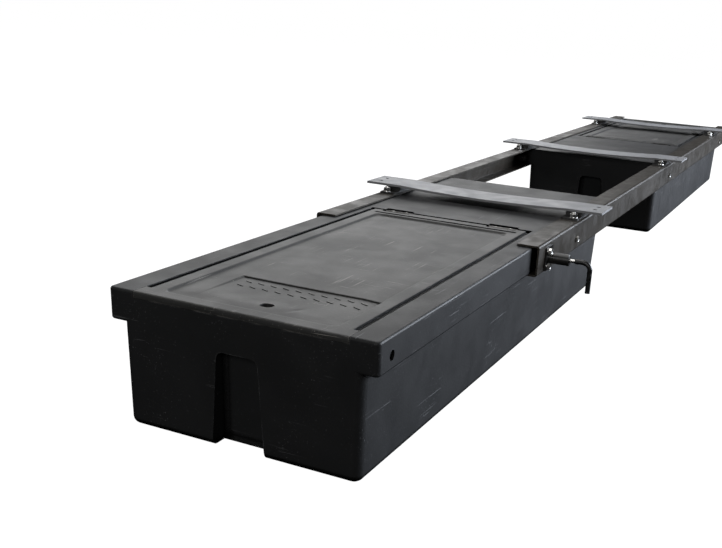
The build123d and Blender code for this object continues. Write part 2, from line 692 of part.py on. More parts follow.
for side, towards_end in (("near", -1), ("far", 1)):
    axis_x = towards_end * latch_x
    bolt_x = axis_x + towards_end * latch_bolt_shift
    bolt_points = [(bolt_x, latch_z + latch_bolt_rise), (bolt_x, latch_z - latch_bolt_rise)]

    with BuildPart() as plate:
        with BuildSketch(out_plane(0)):
            with Locations((axis_x + towards_end * latch_plate_shift, latch_z)):
                RectangleRounded(latch_plate_width, latch_plate_height, latch_plate_corner)
            with Locations((axis_x, latch_z)):
                Circle(pin_radius + pin_fit, mode=Mode.SUBTRACT)
            with Locations(*bolt_points):
                Circle(bolt_hole_radius, mode=Mode.SUBTRACT)
        extrude(amount=latch_plate_thickness)
    save(plate.part, f"{side}_latch_plate")

    with BuildPart() as plate_bolts:
        with BuildSketch(out_plane(latch_plate_thickness)):
            with Locations(*bolt_points):
                Circle(latch_washer_radius)
        extrude(amount=latch_washer_thickness)
        with BuildSketch(out_plane(latch_plate_thickness + latch_washer_thickness)):
            with Locations(*bolt_points):
                RegularPolygon(bolt_flats / 2, 6, major_radius=False)
        extrude(amount=bolt_head)
        with BuildSketch(out_plane(latch_plate_thickness)):
            with Locations(*bolt_points):
                Circle(bolt_radius)
        extrude(amount=-(latch_plate_thickness + rail_thickness + bolt_nut + bolt_end))
    save(plate_bolts.part, f"{side}_latch_bolts")

    with BuildPart() as plate_nuts:
        with BuildSketch(out_plane(-rail_thickness)):
            with Locations(*bolt_points):
                RegularPolygon(bolt_flats / 2, 6, major_radius=False)
                Circle(bolt_radius, mode=Mode.SUBTRACT)
        extrude(amount=-bolt_nut)
    save(plate_nuts.part, f"{side}_latch_nuts")

    with BuildPart() as barrel:
        with BuildSketch(out_plane(latch_plate_thickness)):
            with Locations((axis_x, latch_z)):
                Circle(barrel_radius)
        extrude(amount=barrel_length)
        chamfer(barrel.faces().sort_by(Axis.Y)[0].edges(), barrel_chamfer)
        with BuildSketch(out_plane(latch_plate_thickness)):
            with Locations((axis_x, latch_z)):
                Circle(barrel_bore)
        extrude(amount=barrel_length - barrel_cap, mode=Mode.SUBTRACT)
        with BuildSketch(out_plane(latch_plate_thickness)):
            with Locations((axis_x, latch_z)):
                Circle(rod_radius + pin_fit)
        extrude(amount=barrel_length, mode=Mode.SUBTRACT)
    save(barrel.part, f"{side}_latch_barrel")

    with BuildPart() as spring_seat:
        with BuildSketch(out_plane(pin_shoulder + seat_gap)):
            with Locations((axis_x, latch_z)):
                Circle(seat_radius)
                Circle(rod_radius + pin_fit, mode=Mode.SUBTRACT)
        extrude(amount=seat_thickness)
    save(spring_seat.part, f"{side}_latch_spring_seat")

    spring_from = pin_shoulder + seat_gap + seat_thickness + seat_gap + spring_wire
    spring_to = barrel_end - barrel_cap - spring_wire
    spring_length = spring_to - spring_from
    spring_base = Plane(
        origin=(axis_x, -(rail_outer_half + spring_from), latch_z), x_dir=(1, 0, 0), z_dir=(0, -1, 0)
    )
    coil = spring_base * Helix(spring_length / spring_turns, spring_length, spring_radius)
    with BuildPart() as spring:
        with BuildSketch(Plane(origin=coil @ 0, z_dir=coil % 0)):
            Circle(spring_wire)
        sweep(path=coil, is_frenet=True)
    save(spring.part, f"{side}_latch_spring")

    # pin, rod and L handle: one bent bar, thick where it passes the plate and the web
    drop_start = (axis_x, -(rail_outer_half + handle_reach), latch_z)
    drop_end = (axis_x, -(rail_outer_half + handle_reach), latch_z - handle_drop)
    with BuildPart() as pin:
        with BuildSketch(out_plane(-tip_reach)):
            with Locations((axis_x, latch_z)):
                Circle(pin_radius)
        extrude(amount=tip_reach + pin_shoulder)
        chamfer(pin.faces().sort_by(Axis.Y)[-1].edges(), pin_chamfer)
        with BuildLine() as rod_path:
            FilletPolyline(
                (axis_x, -(rail_outer_half + pin_shoulder), latch_z), drop_start, drop_end, radius=handle_bend
            )
        with BuildSketch(out_plane(pin_shoulder)):
            with Locations((axis_x, latch_z)):
                Circle(rod_radius)
        sweep(path=rod_path.line)
    save(pin.part, f"{side}_latch_pin")

    with BuildPart() as sleeve:
        with BuildLine() as sleeve_path:
            FilletPolyline(
                (axis_x, -(rail_outer_half + sleeve_start), latch_z), drop_start, drop_end, radius=handle_bend
            )
        with BuildSketch(out_plane(sleeve_start)):
            with Locations((axis_x, latch_z)):
                Circle(sleeve_radius)
                Circle(rod_radius, mode=Mode.SUBTRACT)
        sweep(path=sleeve_path.line)
    save(sleeve.part, f"{side}_latch_sleeve")
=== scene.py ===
"""Finishes, fine pieces, light and camera for a set of two storage boxes that slide out of rails."""

import json
import logging
import math
import random
from collections.abc import Callable, Iterable, Sequence
from dataclasses import dataclass
from enum import Enum
from functools import cached_property

import bmesh
import bpy
from mathutils import Matrix, Vector


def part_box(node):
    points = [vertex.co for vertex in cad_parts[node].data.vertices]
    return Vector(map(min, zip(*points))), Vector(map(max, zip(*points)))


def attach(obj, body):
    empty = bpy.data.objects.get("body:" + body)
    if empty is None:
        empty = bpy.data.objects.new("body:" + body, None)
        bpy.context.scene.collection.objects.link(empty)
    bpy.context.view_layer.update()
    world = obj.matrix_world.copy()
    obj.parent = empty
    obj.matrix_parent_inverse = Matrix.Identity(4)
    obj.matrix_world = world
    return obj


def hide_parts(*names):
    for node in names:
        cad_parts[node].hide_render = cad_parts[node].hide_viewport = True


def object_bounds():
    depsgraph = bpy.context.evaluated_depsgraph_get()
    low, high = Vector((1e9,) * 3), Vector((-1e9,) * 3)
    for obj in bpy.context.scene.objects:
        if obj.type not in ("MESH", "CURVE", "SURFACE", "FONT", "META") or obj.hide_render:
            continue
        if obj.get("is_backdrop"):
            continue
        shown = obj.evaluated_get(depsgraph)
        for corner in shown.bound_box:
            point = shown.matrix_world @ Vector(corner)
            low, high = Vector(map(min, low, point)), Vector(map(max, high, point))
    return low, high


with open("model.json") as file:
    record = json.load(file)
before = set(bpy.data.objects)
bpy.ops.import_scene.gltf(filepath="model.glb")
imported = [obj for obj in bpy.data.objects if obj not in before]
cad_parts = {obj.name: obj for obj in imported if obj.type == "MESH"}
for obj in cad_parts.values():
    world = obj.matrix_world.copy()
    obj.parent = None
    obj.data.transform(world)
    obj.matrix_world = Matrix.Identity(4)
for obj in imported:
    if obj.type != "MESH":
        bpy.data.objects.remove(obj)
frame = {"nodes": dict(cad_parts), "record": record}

LOG = logging.getLogger("storage_boxes")
MM = 0.001

# M6 hardware
BOLT_RADIUS = 3.0 * MM
BOLT_FLATS = 10.0 * MM
BOLT_HEAD = 4.0 * MM
BOLT_PITCH = 1.0 * MM
BOLT_LEAD = 0.5 * MM
NUT_HALF = 2.5 * MM

Pair = tuple[float, float]
Triple = tuple[float, float, float]
Colour = Triple
Form = bmesh.types.BMesh
Socket = bpy.types.NodeSocket


class Slot(Enum):
    """The record's material slots, by what they cover."""

    RAIL = "rail"
    CROSSBAR = "crossbar"
    STANDOFF = "standoff"
    ZINC = "zinc"
    SHELL = "shell"
    LID = "lid"
    HINGE = "hinge"
    RUBBER = "rubber"
    LATCH_STEEL = "latch_steel"
    SPRING = "spring"
    SLEEVE = "sleeve"


class Side(Enum):
    """Which of the two boxes a piece belongs to. The value is the way its front faces along X."""

    NEAR = -1
    FAR = 1

    @property
    def word(self) -> str:
        """The start of this side's node names."""
        return self.name.lower()


# ---------------------------------------------------------------- finishes


class Recipe:
    """A material's node tree, with short calls for what the finishes share."""

    def __init__(self, name: str) -> None:
        """Starts an empty finish.

        Args:
            name: the material's name.
        """
        self.material = bpy.data.materials.new(name)
        self.material.use_nodes = True
        self.tree = self.material.node_tree
        self.shader = self.tree.nodes["Principled BSDF"]
        where = self.tree.nodes.new("ShaderNodeTexCoord")
        self.place = where.outputs["Object"]
        self.facing = where.outputs["Normal"]

    def node(self, kind: str, **settings: object) -> bpy.types.Node:
        """Adds a node.

        Args:
            kind: the node's Blender type.
            **settings: attributes to set on it.

        Returns:
            The new node.
        """
        made = self.tree.nodes.new(kind)
        for key, value in settings.items():
            setattr(made, key, value)
        return made

    def link(self, source: Socket, target: Socket) -> None:
        """Joins two sockets."""
        self.tree.links.new(source, target)

    def feed(self, target: Socket, value: Socket | float | Colour) -> None:
        """Gives a socket its value, by a link or as a constant.

        Args:
            target: the socket to feed.
            value: another socket, a number or a colour.
        """
        if isinstance(value, bpy.types.NodeSocket):
            self.link(value, target)
        elif isinstance(value, tuple) and len(target.default_value) == 4:
            target.default_value = (*value, 1.0)
        else:
            target.default_value = value

    def stretched(self, stretch: Sequence[float]) -> Socket:
        """Object coordinates scaled by axis.

        Args:
            stretch: how many times each axis is scaled.

        Returns:
            The scaled coordinates.
        """
        mapping = self.node("ShaderNodeMapping")
        mapping.inputs["Scale"].default_value = tuple(stretch)
        self.link(self.place, mapping.inputs["Vector"])
        return mapping.outputs["Vector"]

    def noise(
        self, scale: float, detail: float = 3.0, stretch: Sequence[float] = (1, 1, 1), warp: float = 0.0
    ) -> Socket:
        """Smooth noise on the object.

        Args:
            scale: repeats to the metre.
            detail: octaves.
            stretch: how many times each axis is scaled first.
            warp: distortion.

        Returns:
            The noise, about 0.5 on average.
        """
        made = self.node("ShaderNodeTexNoise")
        made.inputs["Scale"].default_value = scale
        made.inputs["Detail"].default_value = detail
        made.inputs["Distortion"].default_value = warp
        self.link(self.stretched(stretch), made.inputs["Vector"])
        return made.outputs["Fac"]

    def band(
        self, source: Socket, low: float, high: float, to_low: float = 0.0, to_high: float = 1.0
    ) -> Socket:
        """A smooth step from one value to another.

        Args:
            source: the value that is read.
            low: where the step starts.
            high: where it ends.
            to_low: the result before it.
            to_high: the result after it.

        Returns:
            The stepped value.
        """
        made = self.node("ShaderNodeMapRange", interpolation_type="SMOOTHSTEP")
        for name, value in (("From Min", low), ("From Max", high), ("To Min", to_low), ("To Max", to_high)):
            made.inputs[name].default_value = value
        self.link(source, made.inputs["Value"])
        return made.outputs["Result"]

    def sum_of(self, operation: str, first: Socket | float, second: Socket | float) -> Socket:
        """A sum on two values.

        Args:
            operation: ADD, MULTIPLY, MAXIMUM and so on.
            first: the first value.
            second: the second value.

        Returns:
            The result.
        """
        made = self.node("ShaderNodeMath", operation=operation)
        self.feed(made.inputs[0], first)
        self.feed(made.inputs[1], second)
        return made.outputs["Value"]

    def mix(self, share: Socket | float, first: Socket | Colour, second: Socket | Colour) -> Socket:
        """Blends two colours.

        Args:
            share: how much of the second colour there is.
            first: the colour where the share is 0.
            second: the colour where it is 1.

        Returns:
            The blended colour.
        """
        made = self.node("ShaderNodeMix", data_type="RGBA")
        self.feed(made.inputs["Factor"], share)
        self.feed(made.inputs["A"], first)
        self.feed(made.inputs["B"], second)
        return made.outputs["Result"]

    def upward(self) -> Socket:
        """How far the surface faces up on the object at rest: 1 on top, 0 on the sides, -1 below."""
        split = self.node("ShaderNodeSeparateXYZ")
        self.link(self.facing, split.inputs["Vector"])
        return split.outputs["Z"]

    def edges(self, radius_mm: float) -> Socket:
        """Where the surface is close to an outer edge, from bevelled shading normals.

        Args:
            radius_mm: how far from the edge it reaches.

        Returns:
            0 on flat stretches and up to 1 at an edge.
        """
        soft = self.node("ShaderNodeBevel", samples=4)
        soft.inputs["Radius"].default_value = radius_mm * MM
        hard = self.node("ShaderNodeNewGeometry")
        product = self.node("ShaderNodeVectorMath", operation="DOT_PRODUCT")
        self.link(soft.outputs["Normal"], product.inputs[0])
        self.link(hard.outputs["Normal"], product.inputs[1])
        return self.band(product.outputs["Value"], 0.995, 0.8)

    def crevices(self, reach_mm: float) -> Socket:
        """Where the surface is shut in by its surroundings, as in a groove, read from ambient occlusion; it
        places painted shade.

        Args:
            reach_mm: how far away a wall still counts.

        Returns:
            0 in the open and up to 1 deep in a groove.
        """
        open_share = self.node("ShaderNodeAmbientOcclusion", samples=8)
        open_share.inputs["Distance"].default_value = reach_mm * MM
        return self.band(open_share.outputs["AO"], 0.94, 0.66)

    def relief(self, layers: Iterable[tuple[Socket, float, float]]) -> None:
        """Chains bumps into the shader's normal.

        Args:
            layers: each a height, the depth in millimetres of its full range, and its strength.
        """
        normal = None
        for height, depth_mm, strength in layers:
            bump = self.node("ShaderNodeBump")
            bump.inputs["Distance"].default_value = depth_mm * MM
            bump.inputs["Strength"].default_value = strength
            self.link(height, bump.inputs["Height"])
            if normal is not None:
                self.link(normal, bump.inputs["Normal"])
            normal = bump.outputs["Normal"]
        if normal is not None:
            self.link(normal, self.shader.inputs["Normal"])

    def surface(self, colour: Socket | Colour, roughness: Socket | float, metal: float, gloss: float) -> None:
        """Sets the shader's main values.

        Args:
            colour: base colour.
            roughness: roughness.
            metal: 1 for bare metal, 0 for paint and plastic.
            gloss: specular level.
        """
        self.feed(self.shader.inputs["Base Color"], colour)
        self.feed(self.shader.inputs["Roughness"], roughness)
        self.shader.inputs["Metallic"].default_value = metal
        self.shader.inputs["Specular IOR Level"].default_value = gloss


@dataclass(frozen=True)
class MouldedPlastic:
    """Rotomoulded polyethylene: a fine pebbled skin, slow waves, scuffs and rubbed edges, with painted shade
    in the grooves and a painted top light on the pale bloom.
    """

    name: str
    body: Colour
    bloom: Colour
    scuff: Colour
    scuff_amount: float
    roughness: float
    gloss: float
    # The colour of the painted shade in the grooves.
    body_shade: Colour = (0.002, 0.002, 0.002)

    def make(self) -> bpy.types.Material:
        """Builds the material.

        Returns:
            The finished material.
        """
        r = Recipe(self.name)
        clouds = r.band(r.noise(7, 5, warp=0.6), 0.32, 0.7)
        # The pale bloom mottling is the plastic's own tone; making it stronger on upward faces is a painted
        # top light.
        top = r.band(r.upward(), 0.55, 0.95)
        bloom_and_top_light = r.sum_of("MULTIPLY", clouds, r.band(top, 0, 1, 0.35, 1.0))
        colour = r.mix(bloom_and_top_light, self.body, self.bloom)
        long_marks = r.band(r.noise(60, 2, (0.12, 6, 6), 0.4), 0.66, 0.72)
        cross_marks = r.band(r.noise(55, 2, (5, 0.2, 5), 0.8), 0.68, 0.74)
        patches = r.band(r.noise(11, 3), 0.46, 0.62)
        marks = r.sum_of("MULTIPLY", r.sum_of("MAXIMUM", long_marks, cross_marks), patches)
        specks = r.band(r.noise(420, 1), 0.72, 0.78)
        worn = r.sum_of("MAXIMUM", marks, r.sum_of("MULTIPLY", specks, 0.5))
        # Painted shade: an ambient-occlusion mask of the grooves and other shut-in places.
        groove_shade_mask = r.crevices(14.0)
        rubbed = r.sum_of("MULTIPLY", r.edges(2.5), r.band(r.noise(45, 3), 0.35, 0.65))
        rubbed = r.sum_of("MULTIPLY", rubbed, r.band(groove_shade_mask, 0.0, 0.3, 1.0, 0.0))
        wear = r.sum_of("MAXIMUM", worn, r.sum_of("MULTIPLY", rubbed, 0.8))
        colour = r.mix(r.sum_of("MULTIPLY", wear, self.scuff_amount), colour, self.scuff)
        # Painted shade: the base colour is darkened in the grooves; below, the same mask also raises
        # roughness and takes away gloss there.
        colour = r.mix(groove_shade_mask, colour, self.body_shade)
        rough = r.band(r.noise(18, 4, warp=0.3), 0.3, 0.7, self.roughness - 0.03, self.roughness + 0.04)
        rough = r.sum_of("MAXIMUM", rough, groove_shade_mask)
        r.surface(colour, rough, 0.0, self.gloss)
        r.feed(r.shader.inputs["Specular IOR Level"], r.band(groove_shade_mask, 0.0, 1.0, self.gloss, 0.04))
        r.relief(
            (
                (r.noise(5, 2), 3.0, 0.12),
                (r.noise(260, 2), 0.35, 0.35),
                (r.noise(900, 1), 0.12, 0.3),
                (marks, 0.25, 0.4),
            )
        )
        return r.material


@dataclass(frozen=True)
class SatinPaint:
    """Paint on steel: a slight orange peel, dust, thin rub marks, and bare metal at a few edges."""

    name: str
    coat: Colour
    shade: Colour
    bare: Colour
    roughness: float
    gloss: float
    edge_wear: float
    metal: float = 0.0

    def make(self) -> bpy.types.Material:
        """Builds the material.

        Returns:
            The finished material.
        """
        r = Recipe(self.name)
        tone = r.band(r.noise(9, 4, (0.4, 1, 1), 0.4), 0.3, 0.7)
        colour = r.mix(tone, self.coat, self.shade)
        drawn = r.band(r.noise(120, 2, (0.05, 5, 5)), 0.62, 0.74)
        chips = r.band(r.noise(240, 3), 0.6, 0.66)
        rim = r.sum_of("MULTIPLY", r.edges(0.9), r.band(r.noise(70, 3), 0.4, 0.6))
        wear = r.sum_of("MAXIMUM", rim, r.sum_of("MULTIPLY", drawn, 0.3))
        wear = r.sum_of("MAXIMUM", wear, r.sum_of("MULTIPLY", chips, 0.15))
        colour = r.mix(r.sum_of("MULTIPLY", wear, self.edge_wear), colour, self.bare)
        rough = r.band(r.noise(30, 4), 0.3, 0.7, self.roughness - 0.06, self.roughness + 0.1)
        r.surface(colour, rough, self.metal, self.gloss)
        r.relief(((r.noise(350, 2), 0.12, 0.35), (r.noise(3, 1), 3.0, 0.12), (drawn, 0.05, 0.3)))
        return r.material


@dataclass(frozen=True)
class PlatedSteel:
    """Zinc plate or bare spring steel: cloudy patches, dull spots and fine tool marks."""

    name: str
    bright: Colour
    dull: Colour
    roughness: float

    def make(self) -> bpy.types.Material:
        """Builds the material.

        Returns:
            The finished material.
        """
        r = Recipe(self.name)
        clouds = r.band(r.noise(160, 4, warp=0.8), 0.35, 0.68)
        spots = r.band(r.noise(700, 2), 0.62, 0.7)
        dulled = r.sum_of("MAXIMUM", r.sum_of("MULTIPLY", clouds, 0.7), spots)
        rough = r.band(dulled, 0, 1, self.roughness, self.roughness + 0.22)
        r.surface(r.mix(dulled, self.bright, self.dull), rough, 1.0, 0.5)
        r.relief(((r.noise(1500, 2, (1, 0.2, 1)), 0.03, 0.4),))
        return r.material


@dataclass(frozen=True)
class SoftRubber:
    """Moulded or dipped rubber: a matt skin with fine pores and a pale bloom."""

    name: str
    body: Colour
    bloom: Colour
    roughness: float

    def make(self) -> bpy.types.Material:
        """Builds the material.

        Returns:
            The finished material.
        """
        r = Recipe(self.name)
        clouds = r.band(r.noise(90, 4, warp=0.5), 0.4, 0.75)
        r.surface(
            r.mix(clouds, self.body, self.bloom),
            r.band(r.noise(140, 3), 0.3, 0.7, self.roughness - 0.08, self.roughness + 0.08),
            0.0,
            0.4,
        )
        r.relief(((r.noise(1100, 2), 0.06, 0.4), (r.noise(120, 2), 0.3, 0.2)))
        return r.material


FINISHES = {
    Slot.RAIL: SatinPaint(
        "bronze_satin_paint", (0.020, 0.0172, 0.0135), (0.031, 0.027, 0.022), (0.30, 0.28, 0.25),
        0.42, 0.15, 0.4,
    ),
    Slot.CROSSBAR: SatinPaint(
        "grey_satin_coat", (0.17, 0.171, 0.176), (0.215, 0.216, 0.221), (0.10, 0.10, 0.10), 0.46, 0.3, 0.5
    ),
    Slot.STANDOFF: SatinPaint(
        "black_satin_paint", (0.012, 0.012, 0.012), (0.022, 0.021, 0.02), (0.16, 0.15, 0.14), 0.4, 0.5, 0.6
    ),
    Slot.LATCH_STEEL: SatinPaint(
        "black_gloss_paint", (0.008, 0.008, 0.008), (0.016, 0.015, 0.013), (0.2, 0.19, 0.17), 0.3, 0.5, 0.35
    ),
    Slot.ZINC: PlatedSteel("bright_zinc", (0.82, 0.81, 0.78), (0.45, 0.44, 0.41), 0.2),
    Slot.HINGE: PlatedSteel("hinge_steel", (0.16, 0.155, 0.15), (0.07, 0.068, 0.064), 0.32),
    Slot.SPRING: PlatedSteel("spring_steel", (0.5, 0.49, 0.47), (0.2, 0.19, 0.18), 0.28),
    Slot.RUBBER: SoftRubber("moulded_rubber", (0.012, 0.012, 0.012), (0.03, 0.03, 0.029), 0.6),
    Slot.SLEEVE: SoftRubber("dipped_sleeve", (0.006, 0.006, 0.006), (0.014, 0.014, 0.014), 0.34),
    Slot.SHELL: MouldedPlastic(
        "moulded_shell", (0.012, 0.0122, 0.0126), (0.024, 0.0245, 0.0255), (0.13, 0.13, 0.135),
        0.55, 0.5, 0.22,
    ),
    Slot.LID: MouldedPlastic(
        "moulded_lid", (0.012, 0.012, 0.0118), (0.036, 0.035, 0.033), (0.2, 0.19, 0.17), 0.8, 0.52, 0.45
    ),
}


class Workshop:
    """Makes each finish once and puts it on nodes and new pieces."""

    def __init__(self) -> None:
        """Starts with no finish made."""
        self.made: dict[Slot, bpy.types.Material] = {}
        listed = frame["record"]["subparts"]
        self.slot_of = {entry["node"]: Slot(entry["material_slot"]) for entry in listed}

    def finish(self, slot: Slot) -> bpy.types.Material:
        """The material of a slot.

        Args:
            slot: which one.

        Returns:
            The material, made on first use.
        """
        if slot not in self.made:
            self.made[slot] = FINISHES[slot].make()
        return self.made[slot]

    def dress_node(self, node: str) -> None:
        """Gives a CAD node the finish of its slot.

        Args:
            node: the node's name.
        """
        mesh = frame["nodes"][node].data
        mesh.materials.clear()
        mesh.materials.append(self.finish(self.slot_of[node]))

    def install(self, name: str, form: Form, body: str, slot: Slot, *nodes: str) -> bpy.types.Object:
        """Turns a finished form into a piece that rides on a body.

        Args:
            name: the piece's name.
            form: its mesh, in metres in the row's frame. It is freed.
            body: the body that it moves with.
            slot: the material slot of its finish.
            *nodes: the CAD nodes that it stands for.

        Returns:
            The new piece.
        """
        bmesh.ops.recalc_face_normals(form, faces=form.faces)
        for face in form.faces:
            face.smooth = True
        for edge in form.edges:
            edge.smooth = edge.is_manifold and edge.calc_face_angle(0.0) < math.radians(32)
        piece = add_object(name, form)
        piece.data.materials.append(self.finish(slot))
        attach(piece, body)
        if nodes:
            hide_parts(*nodes)
        LOG.info("%s: %d faces on %s", name, len(piece.data.polygons), body)
        return piece


# ---------------------------------------------------------------- forms


def add_object(name: str, form: Form) -> bpy.types.Object:
    """Puts a finished form into the scene as an object.

    Args:
        name: the object's name.
        form: its mesh, which is freed.

    Returns:
        The new object.
    """
    mesh = bpy.data.meshes.new(name)
    form.to_mesh(mesh)
    form.free()
    made = bpy.data.objects.new(name, mesh)
    bpy.context.scene.collection.objects.link(made)
    return made


def skin(form: Form, rings: Sequence[Sequence[bmesh.types.BMVert]], steps: int) -> None:
    """Adds the faces between each ring of vertices and the next.

    Args:
        form: the mesh that they join.
        rings: the rings in order. One may be a single point.
        steps: how many sides a full ring has.
    """
    for lower, upper in zip(rings, rings[1:]):
        for step in range(steps):
            after = (step + 1) % steps
            spots = ((lower, step), (lower, after), (upper, after), (upper, step))
            form.faces.new(list(dict.fromkeys(ring[spot % len(ring)] for ring, spot in spots)))


def turned(form: Form, profile: Sequence[Pair], place: Matrix, segments: int = 32) -> None:
    """Adds a turned shape to a form.

    Args:
        form: the mesh that it joins.
        profile: (radius, height) pairs in metres, along the axis.
        place: where the shape's own +Z axis and origin go.
        segments: how many sides it has.
    """
    rings = []
    for radius, height in profile:
        if radius <= 1e-7:
            rings.append([form.verts.new(place @ Vector((0, 0, height)))])
            continue
        ring = []
        for step in range(segments):
            angle = 2 * math.pi * step / segments
            point = Vector((radius * math.cos(angle), radius * math.sin(angle), height))
            ring.append(form.verts.new(place @ point))
        rings.append(ring)
    skin(form, rings, segments)


def hexagon(form: Form, flats: float, low: float, high: float, bore: float, place: Matrix) -> None:
    """Adds a hexagon nut or bolt head with chamfered corners.

    Args:
        form: the mesh that it joins.
        flats: width across the flats.
        low: height of its lower face.
        high: height of its upper face.
        bore: radius of its hole, or 0 for a bolt head.
        place: where its own +Z axis and origin go.
    """
    steps = 48
    inner_share, chamfer_rise, lead_share, dish_depth, dish_share = 0.94, 0.5, 1.12, 0.3 * MM, 0.25
    inner = flats / 2 * inner_share

    def around(
        radius_at: Callable[[float], float], height_at: Callable[[float], float]
    ) -> list[bmesh.types.BMVert]:
        """One ring of vertices, with a radius and a height at each angle."""
        made = []
        for step in range(steps):
            angle = 2 * math.pi * step / steps
            radius = radius_at(angle)
            point = Vector((radius * math.cos(angle), radius * math.sin(angle), height_at(angle)))
            made.append(form.verts.new(place @ point))
        return made

    def side(angle: float) -> float:
        """The hexagon's radius at an angle."""
        within = (angle + math.pi / 6) % (math.pi / 3) - math.pi / 6
        return flats / 2 / math.cos(within)

    def drop(angle: float) -> float:
        """How far the chamfer has cut the side down at an angle."""
        return (side(angle) - inner) * chamfer_rise

    rings = [
        around(lambda a: inner, lambda a: low),
        around(side, lambda a: low + drop(a)),
        around(side, lambda a: high - drop(a)),
        around(lambda a: inner, lambda a: high),
    ]
    if bore > 0:
        lead = bore * lead_share
        rings += [
            around(lambda a: lead, lambda a: high),
            around(lambda a: bore, lambda a: high - (lead - bore)),
            around(lambda a: bore, lambda a: low + (lead - bore)),
            around(lambda a: lead, lambda a: low),
        ]
        skin(form, [*rings, rings[0]], steps)
        return
    middle = place @ Vector((0, 0, high - dish_depth))
    dish = [form.verts.new(vertex.co.lerp(middle, dish_share)) for vertex in rings[-1]]
    skin(form, [*rings, dish], steps)
    form.faces.new(dish)
    form.faces.new(list(reversed(rings[0])))


def threaded_profile(radius: float, low: float, high: float, pitch: float, lead: float) -> list[Pair]:
    """The outline of a threaded bar with a chamfered end.

    Args:
        radius: outside radius.
        low: where it starts.
        high: where it ends.
        pitch: distance between threads.
        lead: size of the chamfer at its upper end.

    Returns:
        (radius, height) pairs for turning.
    """
    depth, root_at, crest_at = 0.55 * pitch, 0.45 * pitch, 0.9 * pitch
    root = radius - depth
    profile = [(0.0, low), (radius, low)]
    height = low
    while height + pitch < high - lead:
        profile += [(root, height + root_at), (radius, height + crest_at), (radius, height + pitch)]
        height += pitch
    profile += [(radius, high - lead), (radius - lead, high), (0.0, high)]
    return profile


def solid_centres(node: str) -> list[Vector]:
    """The middle of each separate solid in a CAD node.

    Args:
        node: the node's name.

    Returns:
        The middles of their boxes, in order along X, then Y, then Z.
    """
    form = bmesh.new()
    form.from_mesh(frame["nodes"][node].data)
    bmesh.ops.remove_doubles(form, verts=form.verts, dist=1e-6)
    unseen = set(form.verts)
    centres = []
    while unseen:
        stack = [unseen.pop()]
        low, high = stack[0].co.copy(), stack[0].co.copy()
        while stack:
            here = stack.pop()
            low = Vector(map(min, low, here.co))
            high = Vector(map(max, high, here.co))
            for edge in here.link_edges:
                there = edge.other_vert(here)
                if there in unseen:
                    unseen.remove(there)
                    stack.append(there)
        centres.append((low + high) / 2)
    form.free()
    return sorted(centres, key=lambda c: tuple(round(value, 4) for value in c))


def facing(point: Vector, direction: Vector) -> Matrix:
    """A place at a point whose +Z looks along a direction.

    Args:
        point: its origin.
        direction: where +Z looks.

    Returns:
        The placing matrix.
    """
    return Matrix.Translation(point) @ direction.to_track_quat("Z", "Y").to_matrix().to_4x4()


def smooth_step(value: float, start: float, end: float) -> float:
    """0 before start, 1 after end, and a smooth rise between them."""
    share = min(max((value - start) / (end - start), 0.0), 1.0)
    return share * share * (3 - 2 * share)


def inside_rounded(x: float, y: float, half_x: float, half_y: float, corner: float) -> float:
    """How far a point lies inside a rounded rectangle about the origin, or minus how far outside."""
    across, along = abs(x) - half_x + corner, abs(y) - half_y + corner
    outside = math.hypot(max(across, 0.0), max(along, 0.0))
    return corner - outside - min(max(across, along), 0.0)


# ---------------------------------------------------------------- sub-assemblies


def side_nuts(shop: Workshop, node: str) -> None:
    """Makes the nuts of bolts that go through a rail's web from outside.

    Args:
        shop: where the finishes come from.
        node: the CAD node of the nuts.
    """
    form = bmesh.new()
    for centre in solid_centres(node):
        base = facing(centre, Vector((0, -math.copysign(1.0, centre.y), 0)))
        hexagon(form, BOLT_FLATS, -NUT_HALF, NUT_HALF, BOLT_RADIUS, base)
    shop.install(f"{node}_chamfered", form, "rail_frame", Slot.ZINC, node)


